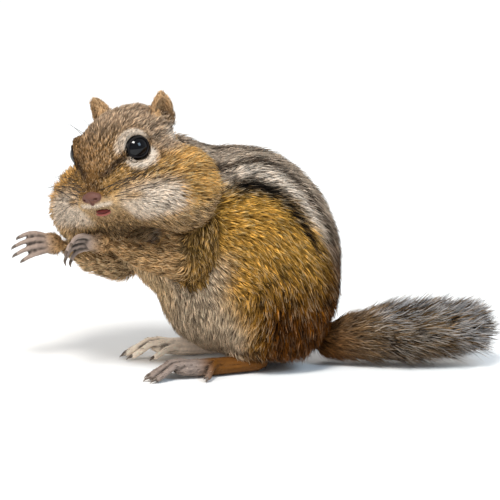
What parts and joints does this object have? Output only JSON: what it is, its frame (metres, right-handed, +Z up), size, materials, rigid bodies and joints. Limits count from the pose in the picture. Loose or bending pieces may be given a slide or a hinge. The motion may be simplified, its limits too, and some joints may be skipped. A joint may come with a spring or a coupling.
{
  "type": "chipmunk model",
  "caption": "Life-size chipmunk sitting on its hind feet with full cheek pouches, head turned to its left, forepaws raised and bushy tail along the ground.",
  "frame": {"origin": "middle of the bounding box's bottom face, on the floor", "axes": "+X towards the tail's tip, +Y towards the animal's right side, +Z up; the body faces -X"},
  "size_m": [0.1426, 0.057, 0.0879],
  "materials": {
    "grey_brown_fur": "short grizzled grey-brown and ochre coat with dark and cream stripes",
    "rust_fur": "short rusty brown coat",
    "cream_fur": "short cream and golden-tan coat",
    "tail_fur": "long bristly brown, black and grey-tipped hair",
    "paw_skin": "thinly haired grey-tan skin with dark claws",
    "eye": "wet glossy black"
  },
  "bodies": {
    "root": {"head": "grey_brown_fur", "cheek_pouch_left": "cream_fur", "cheek_pouch_right": "cream_fur", "ear_left": "grey_brown_fur", "ear_right": "grey_brown_fur", "eye_left": "eye", "eye_right": "eye", "neck": "grey_brown_fur", "torso": "grey_brown_fur", "upper_arm_left": "grey_brown_fur", "upper_arm_right": "grey_brown_fur", "forearm_left": "grey_brown_fur", "forearm_right": "grey_brown_fur", "hand_left": "paw_skin", "hand_right": "paw_skin", "haunch_left": "rust_fur", "haunch_right": "rust_fur", "foot_left": "paw_skin", "foot_right": "paw_skin", "tail": "tail_fur"}
  },
  "joints": []
}
